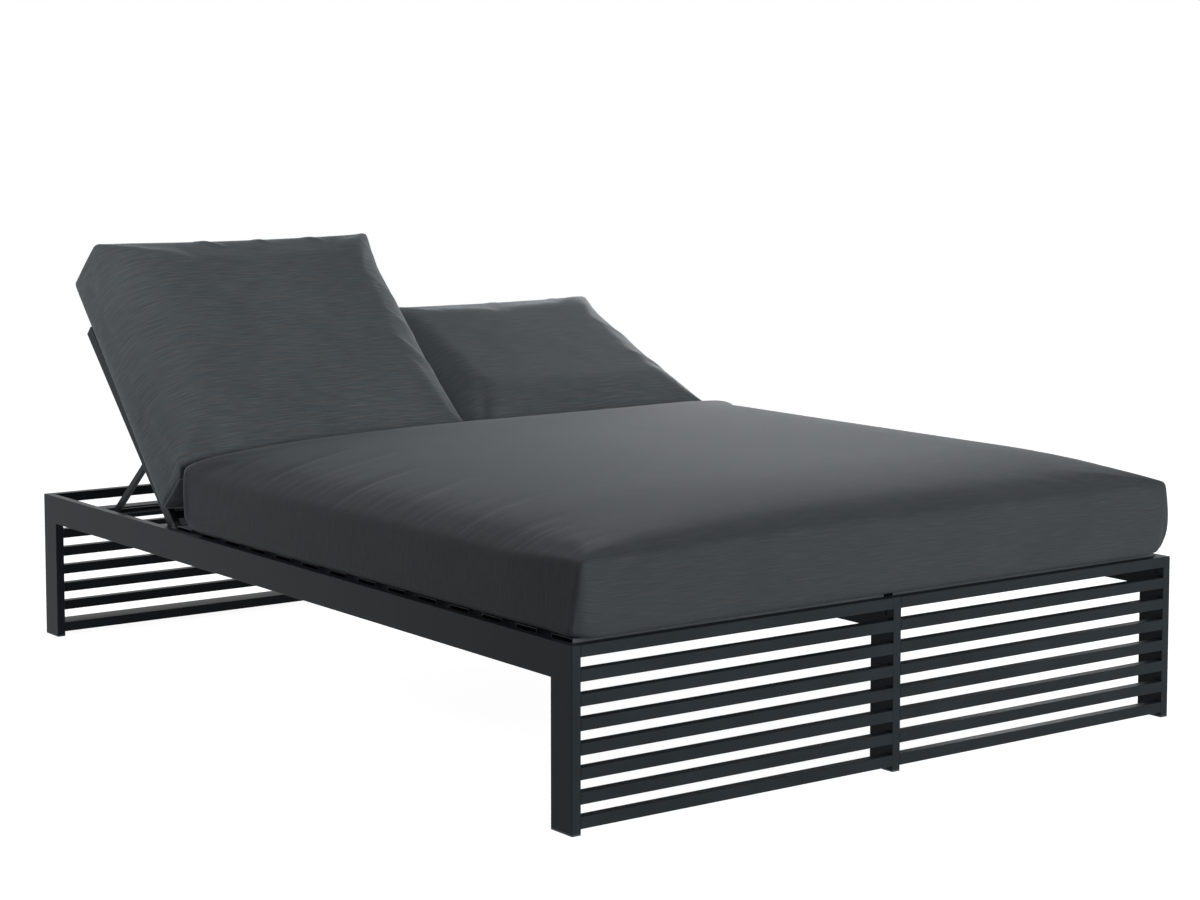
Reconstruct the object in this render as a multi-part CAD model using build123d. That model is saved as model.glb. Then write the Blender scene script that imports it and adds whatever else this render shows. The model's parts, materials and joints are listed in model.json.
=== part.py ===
"""Double chaise lounger: an aluminium platform on three portal frames, one wide mattress over a
batten deck, and two back rests that recline side by side on notched stays.

Millimetres. X runs across the lounger, Y from the foot end (negative) to the head end (positive)
and Z up. The origin is on the ground under the middle of the frame.
"""
from build123d import *
import math
import os

os.makedirs("parts", exist_ok=True)

# Overall frame
frame_length = 2000.0
frame_width = 1400.0
frame_height = 310.0

# Flat tube of the three portals, its wide side in the plane of the portal
portal_depth = 60.0
portal_thickness = 18.0
portal_wall = 2.0
portal_edge_radius = 1.5

# Plastic caps under the legs
foot_cap_height = 3.0
foot_plug_height = 14.0
foot_plug_clearance = 0.1

# Square bars that close the foot end and the head end
panel_bar = 20.0
panel_wall = 1.5
panel_edge_radius = 1.2
panel_ground_gap = 10.0
panel_slat_count = 6

# Batten deck under the mattress
ledge_width = 20.0
ledge_height = 20.0
ledge_wall = 3.0
ledge_end_gap = 2.0
batten_count = 14
batten_width = 60.0
batten_height = 20.0
batten_wall = 1.5
batten_edge_radius = 2.0
batten_proud = 6.0
batten_end_gap = 1.5
deck_start = 25.0
deck_length = 1375.0

# Tubes that cross each bay
beam_depth = 30.0
beam_height = 25.0
beam_wall = 2.0
beam_edge_radius = 1.5

# Back rest frame, measured along the back (u) and square to it (n) from its pivot
pivot_gap = 24.0
pivot_below_top = 10.0
back_length = 540.0
back_bar_width = 15.0
back_bar_height = 26.0
back_bar_wall = 2.0
back_bar_edge_radius = 1.5
back_bar_below = 10.0
back_side_gap = 4.0
back_rest_gap = 0.5
lug_length = 14.0
lug_spigot_length = 20.0
lug_spigot_clearance = 0.1
bottom_bar_start = 22.0
bottom_bar_depth = 20.0
back_slat_count = 6
back_slat_width = 50.0
back_slat_thickness = 6.0
back_slat_edge_radius = 1.5

# Pivot bolts and stay bolts
pivot_radius = 5.0
pivot_head_radius = 9.0
pivot_head_height = 3.0
pivot_bolt_reach = 5.0
pivot_washer_radius = 10.0
stay_bolt_radius = 4.0
stay_head_radius = 6.5
stay_head_height = 3.0
stay_washer_radius = 7.0
head_edge_radius = 1.0
running_clearance = 0.05
washer_clearance = 0.1

# Stay that props each back rest on its racks
stay_pivot_distance = 194.0
stay_length = 217.0
stay_bar_width = 15.0
stay_bar_thickness = 8.0
stay_edge_radius = 1.0
stay_side_gap = 2.0
stay_rod_radius = 6.0

# Notched racks
rack_thickness = 5.0
rack_side_gap = 3.0
rack_height = 21.0
rack_rod_gap = 3.0
rack_notch_depth = 6.0
rack_notch_clearance = 0.5
rack_notch_count = 4
rack_notches_between_backs = 2
mid_beam_place = 136.0
rear_beam_place = 421.0

# Angles at which the two back rests stand
left_back_angle = 45.0
right_back_angle = 25.0

# Mattress
mattress_side_gap = 6.0
mattress_foot_gap = 6.0
mattress_pivot_gap = 96.0
mattress_seam_height = 122.0
mattress_crown = 52.0
mattress_bottom_round = 38.0
mattress_crown_side = 210.0
mattress_crown_end = 150.0
mattress_corner_radius = 45.0
mattress_draw_in = 5.0

# Back cushions
back_cushion_inner_gap = 5.0
back_cushion_outer_gap = 5.0
back_cushion_start = 33.0
back_cushion_end = 640.0
back_cushion_slide_per_degree = 2.5
back_cushion_thickness = 179.0
back_cushion_edge_inset = 90.0
back_cushion_heel = 130.0
back_cushion_corner_radius = 22.0
back_cushion_draw_in = 12.0
soft_clearance = 0.3

# One overrun for every cut that runs past its piece
overrun = 5.0

# Places that follow from the sizes above
half_length = frame_length / 2
half_width = frame_width / 2
bay_width = (frame_width - 3 * portal_thickness) / 2
bay_centre = (portal_thickness + bay_width) / 2
panel_bottom_top = panel_ground_gap + panel_bar
panel_top_bottom = frame_height - panel_bar
panel_gap = (panel_top_bottom - panel_bottom_top - panel_slat_count * panel_bar) / (panel_slat_count + 1)
batten_top = frame_height + batten_proud
ledge_top = batten_top - batten_height
deck_from = -half_length + deck_start
deck_to = deck_from + deck_length
pivot_y = deck_to + pivot_gap
pivot_z = frame_height - pivot_below_top
beam_top = pivot_z - back_bar_below - back_rest_gap
bar_centre_n = back_bar_height / 2 - back_bar_below
bar_top_n = back_bar_height - back_bar_below
bar_outer_x = bay_width / 2 - back_side_gap
bar_inner_x = bar_outer_x - back_bar_width
stay_outer_x = bar_inner_x - stay_side_gap
stay_inner_x = stay_outer_x - stay_bar_thickness
rack_outer_x = stay_inner_x - rack_side_gap
mid_beam_y = pivot_y + mid_beam_place
rear_beam_y = pivot_y + rear_beam_place
rack_from = mid_beam_y + beam_depth
rack_top = pivot_z - stay_rod_radius - rack_rod_gap


def box_tube(run, across, height, wall, edge_radius):
    """Rectangular tube along +X from the origin, across wide in Y and height tall in Z."""
    skin = RectangleRounded(across, height, edge_radius)
    bore = Rectangle(across - 2 * wall, height - 2 * wall)
    return extrude(Plane.YZ * (skin - bore), run)


def solid_bar(run, across, height, edge_radius):
    """Rectangular bar along +X from the origin, with rounded long edges."""
    return extrude(Plane.YZ * RectangleRounded(across, height, edge_radius), run)


def cylinder_x(start, end, radius):
    """Cylinder along X from start to end, about the X axis."""
    return extrude(Plane.YZ.offset(start) * Circle(radius), end - start)


def keep_side(piece, point, normal):
    """The part of a piece on the side of a plane that its normal points to."""
    return split(piece, bisect_by=Plane(origin=point, z_dir=normal), keep=Keep.TOP)


def write_node(name, pieces):
    """Write one node, with each piece as a solid of its own."""
    solids = [solid for piece in pieces for solid in piece.solids()]
    shape = solids[0] if len(solids) == 1 else Compound(children=solids)
    shape.label = name
    export_step(shape, "parts/" + name + ".step")


# Portals: a rail and two legs of the same flat tube, mitred where they meet
def rail(x):
    tube = box_tube(frame_length, portal_thickness, portal_depth, portal_wall, portal_edge_radius)
    bar = Pos(x, -half_length, frame_height - portal_depth / 2) * Rot(0, 0, 90) * tube
    for end in (-1, 1):
        bar = keep_side(bar, (x, end * half_length, frame_height), (0, -end, 1))
    return bar


def leg(x, end):
    run = frame_height - foot_cap_height
    tube = Rot(0, -90, 0) * box_tube(run, portal_depth, portal_thickness, portal_wall, portal_edge_radius)
    post = Pos(x, end * (half_length - portal_depth / 2), foot_cap_height) * tube
    return keep_side(post, (x, end * half_length, frame_height), (0, end, -1))


def foot_cap(x, end):
    inset = 2 * (portal_wall + foot_plug_clearance)
    place = Pos(x, end * (half_length - portal_depth / 2), 0)
    plate = extrude(RectangleRounded(portal_thickness, portal_depth, portal_edge_radius), foot_cap_height)
    plug = Rectangle(portal_thickness - inset, portal_depth - inset)
    return place * (plate + extrude(Pos(0, 0, foot_cap_height) * plug, foot_plug_height))


def pivot_holes(piece, x):
    """Holes for the pivot bolts in the inner faces of a rail."""
    for side in (-1, 1):
        face = x + side * portal_thickness / 2
        if abs(face) < half_width - portal_wall:
            start, end = sorted((face - side * 2 * portal_wall, face + side * overrun))
            hole = cylinder_x(start, end, pivot_radius + running_clearance)
            piece = piece - Pos(0, pivot_y, pivot_z) * hole
    return piece


def make_portals():
    outer_x = half_width - portal_thickness / 2
    for name, x in (("left", -outer_x), ("centre", 0), ("right", outer_x)):
        write_node(name + "_rail", [pivot_holes(rail(x), x)])
        write_node(name + "_foot_leg", [leg(x, -1)])
        write_node(name + "_head_leg", [leg(x, 1)])
    caps = [foot_cap(x, end) for x in (-outer_x, 0, outer_x) for end in (-1, 1)]
    write_node("foot_caps", caps)


# End panels: square bars welded between the legs, flush with their outer faces
def panel_bar_at(side, end, depth, bottom):
    tube = box_tube(bay_width, depth, panel_bar, panel_wall, panel_edge_radius)
    y = end * (half_length - depth / 2)
    return Pos(side * bay_centre - bay_width / 2, y, bottom + panel_bar / 2) * tube


def make_end_panels():
    bottom_depths = {"foot": panel_bar, "head": portal_depth}
    slat_pitch = panel_bar + panel_gap
    for end_name, end in (("foot", -1), ("head", 1)):
        tops = [panel_bar_at(side, end, panel_bar, panel_top_bottom) for side in (-1, 1)]
        write_node(end_name + "_top_bars", tops)
        depth = bottom_depths[end_name]
        lows = [panel_bar_at(side, end, depth, panel_ground_gap) for side in (-1, 1)]
        write_node(end_name + "_bottom_bars", lows)
        for side_name, side in (("left", -1), ("right", 1)):
            first = panel_bottom_top + panel_gap
            heights = [first + i * slat_pitch for i in range(panel_slat_count)]
            slats = [panel_bar_at(side, end, panel_bar, z) for z in heights]
            write_node(end_name + "_slats_" + side_name, slats)


# Deck: battens on angle ledges, which are welded to the inner faces of the rails
def ledge(side, wall_side):
    run = deck_to - beam_depth + half_length - panel_bar - ledge_end_gap
    flange = Pos(ledge_width / 2, 0, -ledge_wall / 2) * Box(ledge_width, run, ledge_wall)
    web = Pos(ledge_wall / 2, 0, -ledge_height / 2) * Box(ledge_wall, run, ledge_height)
    angle = flange + web
    if wall_side > 0:
        angle = mirror(angle, about=Plane.YZ)
    x = side * bay_centre + wall_side * bay_width / 2
    return Pos(x, deck_to - beam_depth - run / 2, ledge_top) * angle


def batten(side, y):
    run = bay_width - 2 * batten_end_gap
    tube = box_tube(run, batten_width, batten_height, batten_wall, batten_edge_radius)
    return Pos(side * bay_centre - run / 2, y, batten_top - batten_height / 2) * tube


def make_deck():
    pitch = (deck_length - batten_width) / (batten_count - 1)
    first = deck_from + batten_width / 2
    for side_name, side in (("left", -1), ("right", 1)):
        write_node(side_name + "_deck_ledges", [ledge(side, wall_side) for wall_side in (-1, 1)])
        battens = [batten(side, first + i * pitch) for i in range(batten_count)]
        write_node(side_name + "_deck_battens", battens)


# Cross beams: one under the end of the deck, two that carry the racks and the lowered back rest
def cross_beam(side, front, top):
    tube = box_tube(bay_width, beam_depth, beam_height, beam_wall, beam_edge_radius)
    return Pos(side * bay_centre - bay_width / 2, front + beam_depth / 2, top - beam_height / 2) * tube


def make_cross_beams():
    for side_name, side in (("left", -1), ("right", 1)):
        beams = [
            cross_beam(side, deck_to - beam_depth, ledge_top),
            cross_beam(side, mid_beam_y, beam_top),
            cross_beam(side, rear_beam_y, beam_top),
        ]
        write_node(side_name + "_cross_beams", beams)


# Racks: the stay's rod rests in one notch of each rack, and each notch holds the back at one angle
def notch_distance(back_angle):
    """Distance from the pivot to the notch that holds the back at an angle."""
    angle = math.radians(back_angle)
    rise = stay_pivot_distance * math.sin(angle)
    return stay_pivot_distance * math.cos(angle) + math.sqrt(stay_length**2 - rise**2)


def rack_profile():
    """Side view of a rack in Y and Z, with a round seat and a ramp towards the head at each notch."""
    length = rear_beam_y - rack_from
    plate = Pos(rack_from + length / 2, rack_top - rack_height / 2) * Rectangle(length, rack_height)
    low = notch_distance(left_back_angle)
    high = notch_distance(right_back_angle)
    pitch = (high - low) / rack_notches_between_backs
    seat_radius = stay_rod_radius + rack_notch_clearance
    seat_bottom = rack_top - rack_notch_depth
    for i in range(rack_notch_count):
        y = pivot_y + high - i * pitch
        seat = Pos(y, seat_bottom + seat_radius) * Circle(seat_radius)
        ramp = Polyline(
            (y, seat_bottom),
            (y + pitch / 2, rack_top),
            (y + pitch / 2, rack_top + overrun),
            (y, rack_top + overrun),
            close=True,
        )
        plate = plate - seat - make_face(ramp)
    return plate


def rack(side, edge):
    plate = extrude(Plane.YZ * rack_profile(), rack_thickness)
    x = side * bay_centre + (rack_outer_x - rack_thickness if edge > 0 else -rack_outer_x)
    return Pos(x, 0, 0) * plate


def make_racks():
    for side_name, side in (("left", -1), ("right", 1)):
        write_node(side_name + "_rack_plates", [rack(side, edge) for edge in (-1, 1)])


# Back rest frame: two side bars mitred to a top bar, with a tie at the bottom, slats and end lugs
def side_bar(edge):
    run = back_length - lug_length
    tube = box_tube(run, back_bar_width, back_bar_height, back_bar_wall, back_bar_edge_radius)
    x = edge * (bar_outer_x - back_bar_width / 2)
    bar = Pos(x, lug_length, bar_centre_n) * Rot(0, 0, 90) * tube
    bar = keep_side(bar, (edge * bar_outer_x, back_length, 0), (edge, -1, 0))
    return bar - Pos(edge * (bar_inner_x + back_bar_width / 2), stay_pivot_distance, 0) * stay_hole(edge)


def stay_hole(edge):
    """Hole through the inner wall of a side bar, from the bar's middle inwards."""
    radius = stay_bolt_radius + running_clearance
    reach = back_bar_width / 2 + overrun
    start, end = sorted((0, -edge * reach))
    return cylinder_x(start, end, radius)


def top_bar():
    tube = box_tube(2 * bar_outer_x, back_bar_width, back_bar_height, back_bar_wall, back_bar_edge_radius)
    bar = Pos(-bar_outer_x, back_length - back_bar_width / 2, bar_centre_n) * tube
    for edge in (-1, 1):
        bar = keep_side(bar, (edge * bar_outer_x, back_length, 0), (-edge, 1, 0))
    return bar


def bottom_bar():
    tube = box_tube(2 * bar_inner_x, bottom_bar_depth, back_bar_height, back_bar_wall, back_bar_edge_radius)
    return Pos(-bar_inner_x, bottom_bar_start + bottom_bar_depth / 2, bar_centre_n) * tube


def back_slats():
    first = bottom_bar_start + bottom_bar_depth
    last = back_length - back_bar_width
    gap = (last - first - back_slat_count * back_slat_width) / (back_slat_count + 1)
    pitch = gap + back_slat_width
    strip = solid_bar(2 * bar_inner_x, back_slat_width, back_slat_thickness, back_slat_edge_radius)
    start = first + gap + back_slat_width / 2
    n = bar_top_n - back_slat_thickness / 2
    return [Pos(-bar_inner_x, start + i * pitch, n) * strip for i in range(back_slat_count)]


def lug(edge):
    """Rounded end of a side bar, bored for the pivot, with a spigot inside the tube."""
    radius = back_bar_height / 2
    cheek = Pos(lug_length / 2, bar_centre_n) * Rectangle(lug_length, back_bar_height)
    cheek = cheek + Pos(0, bar_centre_n) * Circle(radius)
    block = extrude(Plane.YZ * cheek, back_bar_width)
    inset = 2 * (back_bar_wall + lug_spigot_clearance)
    spigot = Box(back_bar_width - inset, lug_spigot_length, back_bar_height - inset)
    place = Pos(back_bar_width / 2, lug_length + lug_spigot_length / 2, bar_centre_n)
    body = block + place * spigot
    body = body - cylinder_x(-overrun, back_bar_width + overrun, pivot_radius + running_clearance)
    x = bar_inner_x if edge > 0 else -bar_outer_x
    return Pos(x, 0, 0) * body


def headed_bolt(radius, head_radius, head_height, head_at, end_at):
    """Bolt along X whose head stands on the plane head_at, on the side away from end_at."""
    away = 1 if head_at > end_at else -1
    head_end = head_at + away * head_height
    shank = cylinder_x(min(head_at, end_at), max(head_at, end_at), radius)
    head = cylinder_x(min(head_at, head_end), max(head_at, head_end), head_radius)
    rim = head.edges().filter_by(GeomType.CIRCLE).sort_by(Axis.X)[-1 if away > 0 else 0]
    return shank + fillet(rim, head_edge_radius)


def washer(start, end, outer_radius, bore_radius):
    low, high = sorted((start, end))
    ring = cylinder_x(low, high, outer_radius)
    return ring - cylinder_x(low - overrun, high + overrun, bore_radius)


def pivot_bolt(edge):
    end_at = edge * (bay_width / 2 + portal_wall + pivot_bolt_reach)
    return headed_bolt(pivot_radius, pivot_head_radius, pivot_head_height, edge * bar_inner_x, end_at)


def pivot_washer(edge):
    start = edge * (bar_outer_x + washer_clearance)
    end = edge * (bay_width / 2 - washer_clearance)
    return washer(start, end, pivot_washer_radius, pivot_radius + running_clearance)


def stay_bolt(edge):
    end_at = edge * (bar_inner_x + back_bar_width / 2)
    bolt = headed_bolt(stay_bolt_radius, stay_head_radius, stay_head_height, edge * stay_inner_x, end_at)
    return Pos(0, stay_pivot_distance, 0) * bolt


def stay_washer(edge):
    start = edge * (stay_outer_x + washer_clearance)
    end = edge * (bar_inner_x - washer_clearance)
    ring = washer(start, end, stay_washer_radius, stay_bolt_radius + running_clearance)
    return Pos(0, stay_pivot_distance, 0) * ring


# Stay: two flat legs with round ends, hung on the stay bolts and joined by a rod at their feet
def stay_leg(edge):
    half = stay_bar_width / 2
    strip = Pos(stay_length / 2, 0) * Rectangle(stay_length, stay_bar_width)
    strip = strip + Circle(half) + Pos(stay_length, 0) * Circle(half)
    blade = extrude(Plane.YZ * strip, stay_bar_thickness)
    blade = chamfer(blade.faces().sort_by(Axis.X)[-1].edges(), stay_edge_radius)
    blade = blade - cylinder_x(-overrun, stay_bar_thickness + overrun, stay_bolt_radius + running_clearance)
    if edge < 0:
        blade = mirror(blade, about=Plane.YZ)
    return Pos(edge * stay_inner_x, 0, 0) * blade


def stay_rod():
    return Pos(0, stay_length, 0) * cylinder_x(-stay_inner_x, stay_inner_x, stay_rod_radius)


# Cushions: lofts through level outlines with drawn-in sides and rounded corners
def cushion_outline(x_from, x_to, y_from, y_to, draw_in, corner_radius):
    """Level outline with four shallow arcs that curve inwards between rounded corners."""
    x_mid = (x_from + x_to) / 2
    y_mid = (y_from + y_to) / 2
    south = ThreePointArc((x_from, y_from), (x_mid, y_from + draw_in), (x_to, y_from))
    east = ThreePointArc((x_to, y_from), (x_to - draw_in, y_mid), (x_to, y_to))
    north = ThreePointArc((x_to, y_to), (x_mid, y_to - draw_in), (x_from, y_to))
    west = ThreePointArc((x_from, y_to), (x_from + draw_in, y_mid), (x_from, y_from))
    face = make_face(Curve() + [south, east, north, west])
    return fillet(face.vertices(), corner_radius)


def cushion_solid(outlines, side_from, side_to):
    """Loft the underside, the upright side and the crown in turn, so that the side stays straight."""
    underside = loft(outlines[: side_from + 1])
    side = loft(outlines[side_from : side_to + 1])
    crown = loft(outlines[side_to:])
    return underside + side + crown


def mattress():
    """Boxed mattress: rounded lower edges, upright sides up to a seam, and a crown over it."""
    x_out = half_width - mattress_side_gap
    y_from = -half_length + mattress_foot_gap
    y_to = pivot_y - mattress_pivot_gap
    bottom = batten_top + soft_clearance
    seam = bottom + mattress_seam_height
    base_turn_shares = (0.0, 0.3, 0.62, 1.0)
    crown_turn_shares = (0.0, 0.2, 0.4, 0.62, 0.82, 1.0)
    levels = []
    for share in base_turn_shares:
        turn = math.radians(90 * share)
        inset = mattress_bottom_round * (1 - math.sin(turn))
        levels.append((bottom + mattress_bottom_round * (1 - math.cos(turn)), inset, inset))
    for share in crown_turn_shares:
        turn = math.radians(90 * share)
        side = mattress_crown_side * (1 - math.cos(turn))
        end = mattress_crown_end * (1 - math.cos(turn))
        levels.append((seam + mattress_crown * math.sin(turn), side, end))
    outlines = []
    for z, side, end in levels:
        outline = cushion_outline(
            side - x_out, x_out - side, y_from + end, y_to - end, mattress_draw_in, mattress_corner_radius
        )
        outlines.append(Pos(0, 0, z) * outline)
    side_from = len(base_turn_shares) - 1
    return cushion_solid(outlines, side_from, side_from + 1)


# Shares of a back cushion's section, from its underside to its crown: height over its thickness, side
# and upper inset over the edge inset, and set-back of the lower end over the heel
back_level_shares = (
    (0.0, 0.62, 0.64),
    (0.045, 0.22, 0.34),
    (0.12, 0.03, 0.11),
    (0.26, 0.0, 0.0),
    (0.56, 0.02, 0.0),
    (0.73, 0.05, 0.08),
    (0.89, 0.15, 0.24),
    (0.965, 0.42, 0.48),
    (1.0, 1.0, 1.0),
)
back_side_levels = (3, 4)


def back_cushion(side):
    """Boxed back cushion over the slats, with its lower front edge rounded off over the mattress."""
    x_inner = side * (back_cushion_inner_gap - bay_centre)
    x_outer = side * (half_width - back_cushion_outer_gap - bay_centre)
    x_from, x_to = min(x_inner, x_outer), max(x_inner, x_outer)
    base = bar_top_n + soft_clearance
    outlines = []
    for height_share, inset_share, heel_share in back_level_shares:
        inset = back_cushion_edge_inset * inset_share
        low = back_cushion_start + back_cushion_heel * heel_share
        outline = cushion_outline(
            x_from + inset,
            x_to - inset,
            low,
            back_cushion_end - inset,
            back_cushion_draw_in,
            back_cushion_corner_radius,
        )
        outlines.append(Pos(0, 0, base + back_cushion_thickness * height_share) * outline)
    return cushion_solid(outlines, back_side_levels[0], back_side_levels[1])


def make_back(side_name, side, angle):
    """One back rest with its stay, turned about the pivot to the angle at which it stands.

    The loose cushion rests with its heel against the mattress, so it lies lower on a flatter back.
    """
    pivot = Pos(side * bay_centre, pivot_y, pivot_z)
    leaned = pivot * Rot(angle, 0, 0)
    edges = (-1, 1)
    name = side_name + "_back_"
    slide = (angle - left_back_angle) * back_cushion_slide_per_degree
    write_node(name + "outer_bar", [leaned * side_bar(side)])
    write_node(name + "inner_bar", [leaned * side_bar(-side)])
    write_node(name + "top_bar", [leaned * top_bar()])
    write_node(name + "bottom_bar", [leaned * bottom_bar()])
    write_node(name + "slats", [leaned * slat for slat in back_slats()])
    write_node(name + "lugs", [leaned * lug(edge) for edge in edges])
    write_node(name + "cushion", [leaned * Pos(0, slide, 0) * back_cushion(side)])
    write_node(side_name + "_pivot_bolts", [pivot * pivot_bolt(edge) for edge in edges])
    write_node(side_name + "_pivot_washers", [pivot * pivot_washer(edge) for edge in edges])
    write_node(side_name + "_stay_bolts", [leaned * stay_bolt(edge) for edge in edges])
    write_node(side_name + "_stay_washers", [leaned * stay_washer(edge) for edge in edges])
    fall = math.degrees(math.asin(stay_pivot_distance * math.sin(math.radians(angle)) / stay_length))
    hung = leaned * Pos(0, stay_pivot_distance, 0) * Rot(-angle - fall, 0, 0)
    write_node(side_name + "_stay_outer_leg", [hung * stay_leg(side)])
    write_node(side_name + "_stay_inner_leg", [hung * stay_leg(-side)])
    write_node(side_name + "_stay_rod", [hung * stay_rod()])


make_portals()
make_end_panels()
make_deck()
make_cross_beams()
make_racks()
make_back("left", -1, left_back_angle)
make_back("right", 1, right_back_angle)
write_node("mattress", [mattress()])
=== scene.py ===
# %% [markdown]
# # A double chaise lounger
# A low aluminium platform carries one wide mattress and two back rests that recline side by side.
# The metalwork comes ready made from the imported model. What is made here is what the eye meets
# first: the padded cushions, their seams, the cloth, the powder coat, and the light.

# %% Load the frame
import json
import math

import bpy
import numpy as np
from mathutils import Matrix, Vector


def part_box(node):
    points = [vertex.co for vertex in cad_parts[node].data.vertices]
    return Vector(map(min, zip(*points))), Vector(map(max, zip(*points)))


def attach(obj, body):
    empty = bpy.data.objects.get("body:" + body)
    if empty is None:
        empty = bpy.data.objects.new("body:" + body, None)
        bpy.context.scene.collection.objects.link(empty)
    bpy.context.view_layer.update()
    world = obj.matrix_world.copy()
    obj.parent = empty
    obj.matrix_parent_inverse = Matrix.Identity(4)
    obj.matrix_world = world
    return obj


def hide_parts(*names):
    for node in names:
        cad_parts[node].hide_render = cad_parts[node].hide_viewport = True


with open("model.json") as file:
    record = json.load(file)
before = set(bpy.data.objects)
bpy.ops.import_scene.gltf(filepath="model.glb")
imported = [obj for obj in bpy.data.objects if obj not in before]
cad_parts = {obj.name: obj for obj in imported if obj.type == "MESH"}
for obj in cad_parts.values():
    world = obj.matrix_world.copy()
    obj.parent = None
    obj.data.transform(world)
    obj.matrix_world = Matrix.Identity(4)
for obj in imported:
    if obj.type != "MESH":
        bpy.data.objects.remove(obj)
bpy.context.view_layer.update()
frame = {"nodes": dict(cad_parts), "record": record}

# %% [markdown]
# ## The camera
# The photograph looks at the foot end from the left, a little above the cushions. Its place and
# lens were worked out from the corners of the frame, whose real sizes are known. The legs stand
# upright in the photograph, so the lens is shifted down a little and the camera is tipped less. The
# shift is kept small, so that other views stay framed. The long lens of about 79 mm gives the
# gentle perspective.

# %% Camera
photo_width = 1200
photo_height = 900
focal_pixels = 2631.2
# The row of the photograph, counted from the top, that the lens axis meets
axis_row = 330.0
sensor_width = 36.0
camera_place = (-3.0978, -4.3568, 1.1840)
camera_yaw = 0.6311
camera_pitch = 0.0890
far_limit = 100.0


def make_camera():
    lens = bpy.data.cameras.new("photo_camera")
    lens.sensor_width = sensor_width
    lens.lens = focal_pixels / photo_width * sensor_width
    lens.shift_y = (axis_row - photo_height / 2) / photo_width
    lens.clip_end = far_limit
    camera = bpy.data.objects.new("photo_camera", lens)
    camera.location = camera_place
    camera.rotation_euler = (math.pi / 2 - camera_pitch, 0.0, -camera_yaw)
    bpy.context.scene.collection.objects.link(camera)
    bpy.context.scene.camera = camera
    return camera


camera = make_camera()
print("lens", round(camera.data.lens, 1), "mm")

# %% [markdown]
# ## Node helpers
# Every finish is a small node tree. These helpers add a node, set its inputs by name and join two
# sockets, so that each material below reads as a list of what the finish is made of.

# %% Node helpers
def new_material(name):
    material = bpy.data.materials.new(name)
    material.use_nodes = True
    tree = material.node_tree
    tree.nodes.clear()
    shader = tree.nodes.new("ShaderNodeBsdfPrincipled")
    output = tree.nodes.new("ShaderNodeOutputMaterial")
    tree.links.new(shader.outputs["BSDF"], output.inputs["Surface"])
    return material, tree, shader


def add(tree, kind, settings=None, **inputs):
    node = tree.nodes.new(kind)
    for key, value in (settings or {}).items():
        setattr(node, key, value)
    for key, value in inputs.items():
        node.inputs[key.replace("_", " ")].default_value = value
    return node


def link(tree, from_node, output, to_node, socket):
    tree.links.new(from_node.outputs[output], to_node.inputs[socket])


def pattern(tree, kind, source, output, scale, settings=None, shift=(0.0, 0.0, 0.0), **inputs):
    """A texture on coordinates that are stretched by a scale, so that a cell has the right size."""
    texture = add(tree, kind, settings, Scale=1.0, **inputs)
    mapping = add(tree, "ShaderNodeMapping", Location=shift, Scale=scale)
    link(tree, source, output, mapping, "Vector")
    link(tree, mapping, "Vector", texture, "Vector")
    return texture


def ramp(tree, source, output, stops):
    """A colour ramp with stops given as place and colour."""
    node = tree.nodes.new("ShaderNodeValToRGB")
    elements = node.color_ramp.elements
    while len(elements) < len(stops):
        elements.new(0.5)
    for element, (place, colour) in zip(elements, stops):
        element.position = place
        element.color = (*colour, 1.0)
    link(tree, source, output, node, "Fac")
    return node


def times(colour, factor):
    return tuple(factor * part for part in colour)


def grey(value):
    return (value, value, value)


def mix_colours(tree, mode, amount, first, second):
    node = add(tree, "ShaderNodeMix", {"data_type": "RGBA", "blend_type": mode})
    node.inputs["Factor"].default_value = amount
    tree.links.new(first, node.inputs["A"])
    tree.links.new(second, node.inputs["B"])
    return node.outputs["Result"]


# %% [markdown]
# ## Powder coat
# The frame is aluminium under a fine anthracite powder coat. Powder melts into a skin with a very
# slight orange peel, so the finish is a satin plastic sheen over tiny bumps, not bare metal. A
# faint mottling in the colour and the roughness keeps long straight faces from looking printed.
# The one coat comes in two copies: a darker one on the rails, painted shade, and a lighter one on
# the slats, painted light.

# %% Powder coat
# Scales are cells in each metre, and the peel's depth is in metres.
grain_scale = (900.0, 900.0, 900.0)
mottle_scale = (7.0, 7.0, 7.0)
peel_depth = 0.0002


def powder_coat(name, colour, roughness, shine):
    material, tree, shader = new_material(name)
    place = add(tree, "ShaderNodeTexCoord")
    noise = "ShaderNodeTexNoise"
    grain = pattern(tree, noise, place, "Object", grain_scale, Detail=2.0, Roughness=0.6)
    mottle = pattern(tree, noise, place, "Object", mottle_scale, Detail=4.0, Roughness=0.55)
    tint = ramp(tree, mottle, "Fac", [(0.3, times(colour, 0.86)), (0.7, times(colour, 1.16))])
    fleck = ramp(tree, grain, "Fac", [(0.35, grey(0.9)), (0.65, grey(1.1))])
    colour_out = mix_colours(tree, "MULTIPLY", 1.0, tint.outputs["Color"], fleck.outputs["Color"])
    tree.links.new(colour_out, shader.inputs["Base Color"])
    gloss = add(tree, "ShaderNodeMapRange")
    gloss.inputs["To Min"].default_value = roughness - 0.05
    gloss.inputs["To Max"].default_value = roughness + 0.06
    link(tree, mottle, "Fac", gloss, "Value")
    link(tree, gloss, "Result", shader, "Roughness")
    peel = add(tree, "ShaderNodeBump", Strength=0.22, Distance=peel_depth)
    link(tree, grain, "Fac", peel, "Height")
    link(tree, peel, "Normal", shader, "Normal")
    shader.inputs["Specular IOR Level"].default_value = shine
    return material


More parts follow.
